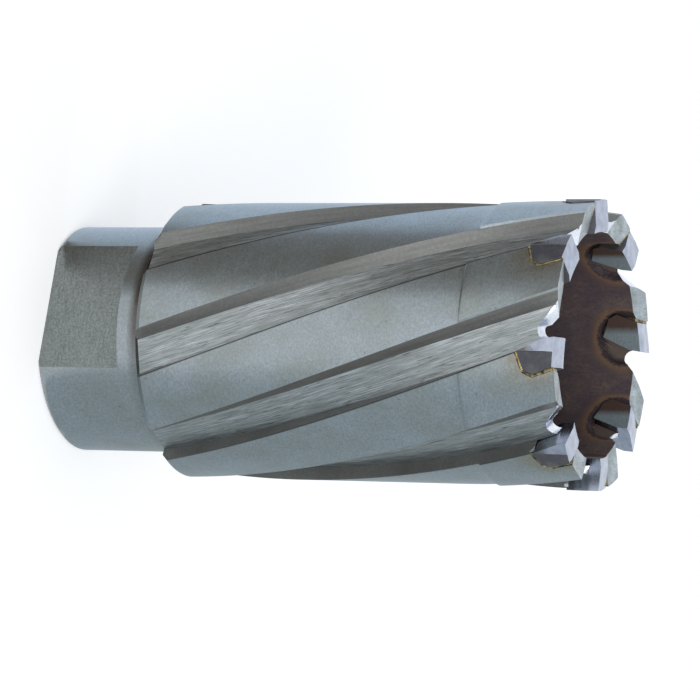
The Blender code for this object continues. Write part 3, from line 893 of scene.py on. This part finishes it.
def faced_steel():
    """The steel's front between the tips: ground flat, a duller grey than the carbide beside it."""
    f = Finish("faced_steel", metallic=1.0)
    marks = f.grain(f.solid, (4.0, 0.8, 2.0), 4.0, 0.7)
    cloud = f.grain(f.solid, (0.5, 0.5, 0.5), 4.0, 0.6)
    greys = (0.35, "#858e8f"), (0.5, "#98a1a4"), (0.65, "#aab3b9")
    colour = add_node(f.tree, RAMP, [cloud], greys)["Color"]
    colour = f.tinted(colour, "#6d726f", 0.5, marks, 0.45, 0.7)
    return f.finished(colour, marks, (0.26, 0.42), 0.004)


def heat_darkened_steel():
    """The bore after brazing: matt brown-purple scale, a brown halo per recess, and a dark ring of
    painted shade at each recess's rim.
    """
    f = Finish("heat_darkened_steel", metallic=0.25)
    cloud = f.grain(f.solid, (0.3, 0.3, 0.22), 4.0, 0.6)
    grain = f.grain(f.solid, (4.0, 4.0, 2.2), 4.0, 0.7)
    heat = add_node(f.tree, "ShaderNodeAttribute", attribute_name="tip_heat")["Fac"]
    scale = (0.32, "#4d414c"), (0.5, "#5b4e50"), (0.68, "#6f6159")
    colour = add_node(f.tree, RAMP, [cloud], scale)["Color"]
    colour = f.tinted(colour, "#3c3338", 0.65, grain, 0.4, 0.65)
    uneven = add_node(f.tree, SPAN, [grain, 0.2, 0.8, -0.12, 0.12])[0]
    stain = add_node(f.tree, MATHS, [heat, uneven], operation="ADD")[0]
    # The brown is the brazing's tint; the dark band of the ramp lies on each recess's rim and is
    # painted shade
    brown, dark = [(0.1, "#6b5342"), (0.4, "#7a5f48")], [(0.5, "#2b2225"), (0.7, "#2f2628")]
    halo_and_rim_shade = add_node(f.tree, RAMP, [stain], [*brown, *dark, (0.85, "#6d5f55")])["Color"]
    near = add_node(f.tree, SPAN, [heat, 0.03, 0.3, 0.0, 0.9])[0]
    colour = f.tinted(colour, halo_and_rim_shade, 1.0, grain, 0.2, 0.8, least=0.7, where=near)
    return f.finished(colour, grain, (0.5, 0.7), 0.012)


def tapped_steel():
    """Thread and guide hole: cut steel with an oily grey tone."""
    f = Finish("tapped_steel", metallic=1.0)
    lines = f.grain(f.solid, (0.4, 0.4, 9.0), 4.0, 0.7)
    cloud = f.grain(f.solid, (0.4, 0.4, 0.4), 3.0, 0.5)
    greys = (0.35, "#7b7f80"), (0.65, "#94999c")
    colour = add_node(f.tree, RAMP, [cloud], greys)["Color"]
    colour = f.tinted(colour, "#5b5854", 0.5, lines, 0.45, 0.75)
    return f.finished(colour, lines, (0.3, 0.46), 0.005)


def milled_flat_steel():
    """Wrench flats: darker than the turned shank, with slanting marks of a face mill."""
    f = Finish("milled_flat_steel", metallic=1.0)
    marks = f.grain(f.solid, (0.5, 0.5, 6.0), 3.0, 0.65, turn=(0.0, math.radians(55), 0.0))
    grain = f.grain(f.solid, (4.0, 4.0, 4.0), 3.0, 0.7)
    greys = (0.36, "#707674"), (0.64, "#8f9594")
    colour = add_node(f.tree, RAMP, [grain], greys)["Color"]
    colour = f.tinted(colour, "#5f6365", 0.5, marks, 0.5, 0.7)
    return f.finished(colour, marks, (0.3, 0.46), 0.008)


def ground_carbide():
    """Tip faces ground with a diamond wheel: pale lilac grey, fine marks, darker towards the foot
    as painted shade.
    """
    f = Finish("ground_carbide", metallic=1.0)
    marks = f.grain(f.surface, (1.0, 9.0, 1.0), 4.0, 0.7)
    cloud = f.grain(f.solid, (0.8, 0.8, 0.8), 3.0, 0.5)
    lilacs = (0.35, "#989eac"), (0.65, "#aeb5c3")
    colour = add_node(f.tree, RAMP, [cloud], lilacs)["Color"]
    colour = f.tinted(colour, "#9294a4", 0.3, marks, 0.4, 0.75)
    # Painted shade: the ground faces darken towards the tip's foot, with an uneven edge
    height = add_node(f.tree, SPLIT, [f.surface])["Y"]
    uneven = add_node(f.tree, SPAN, [cloud, 0.3, 0.7, -0.5, 0.5])[0]
    edge = add_node(f.tree, MATHS, [height, uneven], operation="ADD")[0]
    colour = f.tinted(colour, "#5f5b5a", 0.9, edge, 66.3, 65.0)
    return f.finished(colour, marks, (0.22, 0.36), 0.003)


def sintered_carbide():
    """Carbide as pressed and sintered: dark, matt and finely speckled, mottled by the flux."""
    f = Finish("sintered_carbide", metallic=0.6)
    grain = f.grain(f.solid, (7.0, 7.0, 7.0), 4.0, 0.7)
    cloud = f.grain(f.surface, (0.5, 0.4, 1.0), 3.0, 0.55)
    greys = (0.33, "#3f4046"), (0.5, "#48484e"), (0.66, "#585958")
    colour = add_node(f.tree, RAMP, [cloud], greys)["Color"]
    colour = f.tinted(colour, "#66646c", 0.5, grain, 0.45, 0.75)
    return f.finished(colour, grain, (0.42, 0.6), 0.008)


def flux_stained_carbide():
    """The tips' bore side after brazing: grey with a green cast, brown with flux at the back."""
    f = Finish("flux_stained_carbide", metallic=0.3)
    grain = f.grain(f.solid, (5.0, 5.0, 5.0), 4.0, 0.7)
    greys = (0.35, "#6f7c80"), (0.65, "#8d9a9e")
    colour = add_node(f.tree, RAMP, [grain], greys)["Color"]
    across = add_node(f.tree, SPLIT, [f.surface])["X"]
    uneven = add_node(f.tree, SPAN, [grain, 0.0, 1.0, -0.8, 0.8])[0]
    back = add_node(f.tree, MATHS, [across, uneven], operation="ADD")[0]
    colour = f.tinted(colour, "#4d3c33", 1.0, back, 2.1, 3.0)
    return f.finished(colour, grain, (0.42, 0.6), 0.008)


def silver_braze():
    """Silver solder with its copper tone: olive gold, flux-stained brown in places."""
    f = Finish("silver_braze", metallic=1.0)
    stain = f.grain(f.solid, (1.3, 1.3, 1.3), 3.0, 0.6)
    grain = f.grain(f.solid, (6.0, 6.0, 6.0), 3.0, 0.6)
    golds = (0.36, "#4d4435"), (0.46, "#857b5b"), (0.56, "#a4966c"), (0.66, "#8f7350")
    colour = add_node(f.tree, RAMP, [stain], golds)["Color"]
    colour = f.tinted(colour, "#4a4334", 0.5, grain, 0.55, 0.75)
    return f.finished(colour, grain, (0.34, 0.55), 0.012)


def fit_out(obj, node, slot, *materials):
    """Give a piece its materials, hang it under the root, and hide the CAD node it stands for."""
    for material in materials:
        obj.data.materials.append(material)
    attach(obj, "root")
    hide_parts(node)


fit_out(
    body_mesh(),
    "cutter_body",
    "body_steel",
    ground_tool_steel(),
    milled_tool_steel(),
    polished_tool_steel(),
    heat_darkened_steel(),
    tapped_steel(),
    milled_flat_steel(),
    shaded_side_milled_steel(),
    faced_steel(),
)
tip_finishes = ground_carbide(), sintered_carbide(), flux_stained_carbide()
braze_finish = silver_braze()
for tooth in range(TEETH):
    fit_out(tip_object(tooth), f"carbide_tip_{tooth + 1}", "carbide", *tip_finishes)
    fit_out(braze_object(tooth), f"braze_seam_{tooth + 1}", "braze", braze_finish)


def look_at(obj, eye, target, up):
    """Turn a camera or lamp at an eye towards a target, with a chosen up."""
    back = (Vector(eye) - Vector(target)).normalized()
    right = Vector(up).cross(back).normalized()
    matrix = Matrix((right, back.cross(right), back)).transposed().to_4x4()
    matrix.translation = Vector(eye)
    obj.matrix_world = matrix


# The cutter lies on its side in the picture: the camera is rolled so that +Z points right
DISTANCE = 0.55
FOCAL_LENGTH = 230.5
AIM = Vector((0.00099, 0.0, 0.03596))
ELEVATION = math.radians(22.42)
ROLL = math.radians(0.79)
camera = bpy.data.objects.new("camera", bpy.data.cameras.new("camera"))
bpy.context.scene.collection.objects.link(camera)
camera.data.sensor_width = 36.0
camera.data.lens = FOCAL_LENGTH
camera.data.clip_start = 0.01
camera.data.clip_end = 20.0
back = Vector((0.0, -math.cos(ELEVATION), math.sin(ELEVATION)))
right = Vector((0.0, math.sin(ELEVATION), math.cos(ELEVATION)))
up = Vector((-math.cos(ROLL), 0.0, 0.0)) - math.sin(ROLL) * right
look_at(camera, AIM + DISTANCE * back, AIM, up)
bpy.context.scene.camera = camera


def seen_directly(tree):
    """1 for rays from the camera and for mirrored and refracted ones, 0 for all other rays."""
    rays = add_node(tree, "ShaderNodeLightPath")
    seen = rays["Is Camera Ray"]
    for kind in ("Is Glossy Ray", "Is Transmission Ray"):
        seen = add_node(tree, MATHS, [seen, rays[kind]], operation="MAXIMUM")[0]
    return seen


def flat_sheet(name, corners, material):
    """A sheet of the stage, flat between its corners."""
    mesh = bpy.data.meshes.new(name)
    mesh.from_pydata(corners, [], [range(len(corners))])
    mesh.materials.append(material)
    sheet = bpy.data.objects.new(name, mesh)
    bpy.context.scene.collection.objects.link(sheet)
    return sheet


def reflected_card(name, corners, colour):
    """A glowing card that lies on the floor and shows only in what the metal mirrors."""
    material = bpy.data.materials.new(name)
    material.use_nodes = True
    tree = material.node_tree
    glow = add_node(tree, "ShaderNodeEmission", {"Color": colour, "Strength": 1.0})[0]
    tree.links.new(glow, tree.nodes["Material Output"].inputs["Surface"])
    card = flat_sheet(name, [(x, y, CARD_HEIGHT) for x, y in corners], material)
    card.visible_camera = False
    card.visible_diffuse = False
    card.visible_shadow = False


CARD_HEIGHT = 0.0005
FLOOR_GLOW = 0.38
SKY_LIGHT, SKY_SEEN = 0.7, 1.2

pale = bpy.data.materials.new("pale_floor")
pale.use_nodes = True
tree = pale.node_tree
floor_shader = tree.nodes["Principled BSDF"]
floor_shader.inputs["Base Color"].default_value = hex_linear("#e6e6e6")
floor_shader.inputs["Roughness"].default_value = 0.9
level = add_node(tree, MATHS, [seen_directly(tree), FLOOR_GLOW], operation="MULTIPLY")[0]
glow = add_node(tree, "ShaderNodeEmission", {"Strength": level})[0]
both = add_node(tree, "ShaderNodeAddShader", [floor_shader.outputs[0], glow])[0]
tree.links.new(both, tree.nodes["Material Output"].inputs["Surface"])
flat_sheet("floor", [(-4, -4, 0), (4, -4, 0), (4, 4, 0), (-4, 4, 0)], pale)

# Around the shank the cards leave its round free. Each covers one side of the surroundings
reflected_card(
    "dark_card",
    [(-0.0125, -0.0068), (-0.5, 0.11), (-0.5, -0.64), (-0.0098, -0.0106)],
    (0.26, 0.24, 0.215, 1.0),
)
reflected_card(
    "grey_card",
    [
        (0.0056, -0.0136),
        (0.5, -1.2),
        (0.5, 1.2),
        (0.0056, 0.0136),
        (0.0124, 0.0073),
        (0.0124, -0.0073),
    ],
    (0.56, 0.63, 0.67, 1.0),
)
reflected_card(
    "pale_blue_card",
    [
        (-0.0125, -0.0068),
        (-0.0135, 0.0049),
        (-0.0061, 0.0131),
        (0.0056, 0.0136),
        (0.5, 1.2),
        (-0.5, 1.2),
        (-0.5, 0.11),
    ],
    (0.86, 1.0, 1.2, 1.0),
)

world = bpy.data.worlds.new("studio")
bpy.context.scene.world = world
world.use_nodes = True
tree = world.node_tree
level = add_node(tree, SPAN, [seen_directly(tree), 0.0, 1.0, SKY_LIGHT, SKY_SEEN])[0]
tree.nodes["Background"].inputs["Color"].default_value = (0.93, 0.96, 1.0, 1.0)
tree.links.new(level, tree.nodes["Background"].inputs["Strength"])


def soft_lamp(name, eye, size, power):
    """A square soft box that faces the cutter."""
    light = bpy.data.lights.new(name, "AREA")
    light.size = size
    light.energy = power
    lamp = bpy.data.objects.new(name, light)
    bpy.context.scene.collection.objects.link(lamp)
    look_at(lamp, eye, (0.0, 0.0, 0.035), (0.0, 0.0, 1.0))


soft_lamp("key", (0.25, -0.9, 0.6), 0.6, 5.0)
bpy.context.scene.view_settings.view_transform = "Standard"
